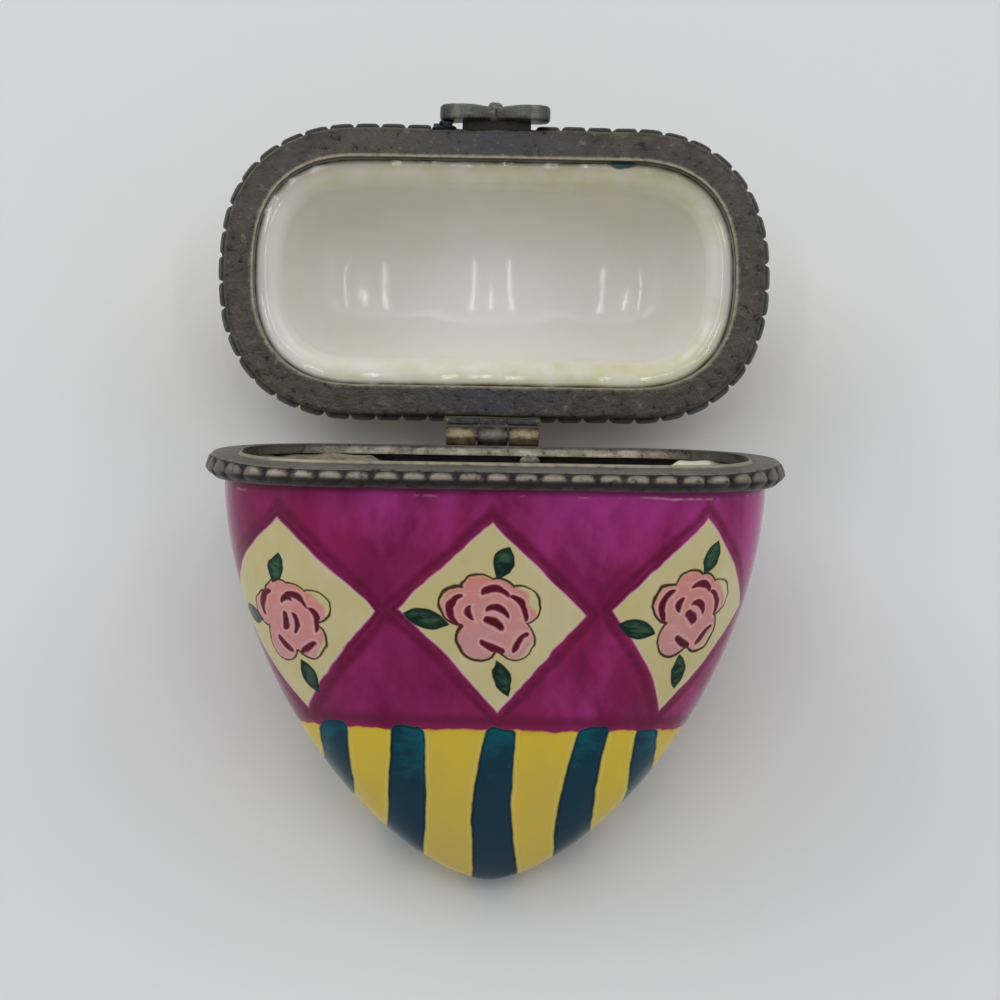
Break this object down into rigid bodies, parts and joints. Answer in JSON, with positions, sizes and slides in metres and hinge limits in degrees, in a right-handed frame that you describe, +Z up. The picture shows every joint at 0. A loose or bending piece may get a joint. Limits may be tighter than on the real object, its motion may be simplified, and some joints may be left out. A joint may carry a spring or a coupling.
{
  "type": "hinged trinket box",
  "caption": "Heart-shaped glazed porcelain trinket box in beaded metal rims, lying hinged open on its back, with a ribbon bow on its lid.",
  "frame": {"origin": "table level, under the middle of the box's footprint as it lies open", "axes": "+X to the right along the hinge pin, +Y from the heart's tip towards the open lid, +Z up from the table"},
  "size_m": [0.05, 0.0686, 0.0321],
  "materials": {
    "body_porcelain": "glazed, hand-painted in magenta, cream, yellow and teal, cream inside",
    "lid_porcelain": "glazed, cream inside, painted outside",
    "rim_metal": "cast, darkened, edges worn bright",
    "hinge_metal": "worn, partly darkened",
    "clasp_metal": "cast, darkened"
  },
  "bodies": {
    "box": {"porcelain_body": "body_porcelain", "body_rim": "rim_metal", "body_hinge_leaf": "hinge_metal", "hinge_pin": "hinge_metal"},
    "lid": {"porcelain_lid": "lid_porcelain", "lid_rim": "rim_metal", "lid_hinge_leaf": "hinge_metal", "bow_clasp": "clasp_metal"}
  },
  "joints": [
    {"name": "lid_hinge", "type": "hinge", "parent": "box", "child": "lid", "pos_m": [0, 0.0059, 0.0081], "axis": [1, 0, 0], "range_deg": [0, 97]}
  ]
}
